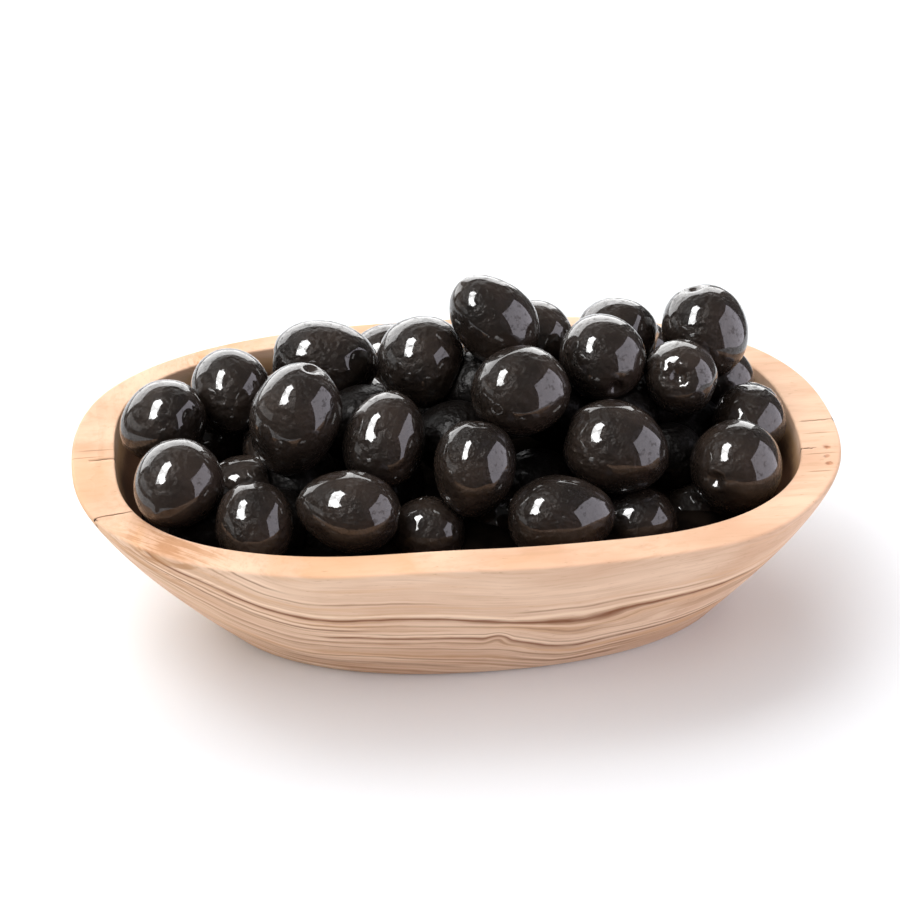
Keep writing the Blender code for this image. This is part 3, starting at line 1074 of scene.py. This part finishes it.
def ellipsoid(row):
    """A matrix that takes a place, less the olive's middle, to a ball of radius 1."""
    _, length, width, turn, tilt, _ = row
    scale = np.diag((2 / width, 2 / width, 2 / length))
    return scale @ np.array(turned(turn, tilt)).T


def press_together(points, row, others):
    """Flattens an olive where it would run into its neighbours, half for each of the two."""
    middle = np.array(row[0])
    own = ellipsoid(row)
    for other in others:
        if (row[0] - other[0]).length > (row[1] + other[1]) / 2:
            continue
        form = ellipsoid(other)
        away = np.array(other[0])
        inside = np.linalg.norm((points - away) @ form.T, axis=1) < PRESSED_NEAR
        rays = points[inside] - middle
        own_reach = np.linalg.norm(rays @ own.T, axis=1)
        low = np.zeros(len(rays))
        high = np.ones(len(rays))
        for _ in range(PRESSED_HALVINGS):
            share = (low + high) / 2
            tried = middle + rays * share[:, None]
            other_reach = np.linalg.norm((tried - away) @ form.T, axis=1)
            past = share * own_reach > other_reach * PRESSED_GAP
            high = np.where(past, share, high)
            low = np.where(past, low, share)
        points[inside] = middle + rays * low[:, None]
    return points


def make_olives(finish):
    """Each olive is a shaped copy of one model, laid in its place and pressed by its neighbours."""
    rows = olive_rows()
    model = model_olive()
    copies = []
    for number, row in enumerate(rows):
        place, length, width, turn, tilt, wrinkles = row
        olive = model.copy()
        olive.data = model.data.copy()
        bpy.context.scene.collection.objects.link(olive)
        shape_olive(olive, length, width, wrinkles, number)
        matrix = turned(turn, tilt)
        points = np.array([place + matrix @ vertex.co for vertex in olive.data.vertices])
        others = rows[:number] + rows[number + 1 :]
        points = press_together(points, row, others)
        olive.data.vertices.foreach_set("co", points.ravel())
        wet = UNDER_WET_AND_UNSHADED if number in range(SHOWN_COUNT, len(LAID_OLIVES)) else 1.0
        for name, value in (("wrinkled", wrinkles), ("wet", wet)):
            marks = olive.data.attributes.new(name, "FLOAT", "POINT")
            marks.data.foreach_set("value", [value] * len(marks.data))
        olive.data.update()
        copies.append(olive)
    bpy.data.objects.remove(model)
    deselect()
    for olive in copies:
        olive.select_set(True)
    heap = copies[0]
    bpy.context.view_layer.objects.active = heap
    bpy.ops.object.join()
    heap.name = "black_olives"
    heap.data.name = "black_olives"
    heap.data.materials.append(finish)
    return heap


def make_floor(finish):
    """A wide floor that isn't mirrored in the olives, and on it a smaller sheet that is."""
    deselect()
    bpy.ops.mesh.primitive_plane_add(size=FLOOR_SIZE, location=(0, 0, -SHEET_THICKNESS))
    floor = bpy.context.object
    floor.name = "studio_floor"
    floor.visible_glossy = False
    bpy.ops.mesh.primitive_plane_add(size=1, location=(*SHEET_PLACE, 0))
    sheet = bpy.context.object
    sheet.name = "studio_sheet"
    sheet.scale = (*SHEET_SIZE, 1)
    for piece in (floor, sheet):
        deselect()
        piece.select_set(True)
        bpy.ops.object.transform_apply()
        piece.data.materials.append(finish)


def add_softbox(name, place, width, height, turn, radiance, colour):
    """A soft light with a flat face turned to the dish, which looks as bright at any size."""
    light = bpy.data.lights.new(name, "AREA")
    light.shape = "RECTANGLE"
    light.size = width
    light.size_y = height
    light.energy = radiance * math.pi * width * height
    light.color = colour
    box = bpy.data.objects.new(name, light)
    box.location = place
    facing = (Vector((0, 0, HEIGHT)) - Vector(place)).to_track_quat("-Z", "Y")
    box.rotation_euler = (facing @ Quaternion((0, 0, 1), math.radians(turn))).to_euler()
    box.visible_camera = False
    bpy.context.scene.collection.objects.link(box)
    return box


def light_studio():
    world = bpy.data.worlds.new("studio")
    world.use_nodes = True
    background = world.node_tree.nodes["Background"]
    background.inputs["Color"].default_value = (*WORLD_COLOUR, 1)
    background.inputs["Strength"].default_value = WORLD_LIGHT
    bpy.context.scene.world = world
    for row in LAMPS:
        add_softbox(*row).visible_glossy = False
    for row in PANELS:
        add_softbox(*row).visible_diffuse = False


def add_camera():
    turn = math.radians(VIEW_TURN)
    drop = math.radians(VIEW_DROP)
    forward = Vector(
        (math.sin(turn) * math.cos(drop), math.cos(turn) * math.cos(drop), -math.sin(drop))
    )
    right = Vector((math.cos(turn), -math.sin(turn), 0))
    up = right.cross(forward)
    aim = Vector((0, 0, HEIGHT)) - right * AIM_LEFT - up * AIM_BELOW
    lens = bpy.data.cameras.new("camera")
    lens.lens = LENS
    lens.sensor_width = SENSOR
    lens.clip_start = CLIP_NEAR
    lens.clip_end = CLIP_FAR
    camera = bpy.data.objects.new("camera", lens)
    camera.location = aim - forward * VIEW_DISTANCE
    camera.rotation_euler = forward.to_track_quat("-Z", "Y").to_euler()
    bpy.context.scene.collection.objects.link(camera)
    bpy.context.scene.camera = camera


def main():
    wood = wood_finish()
    skin = skin_finish()
    dish = make_dish(wood)
    heart = make_heart(heart_finish())
    olives = make_olives(skin)
    for piece in (dish, heart, olives):
        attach(piece, "root")
    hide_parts("bowl")
    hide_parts("olives")
    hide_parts("olives")
    make_floor(floor_finish())
    light_studio()
    add_camera()
    bpy.context.scene.view_settings.view_transform = "Standard"


main()
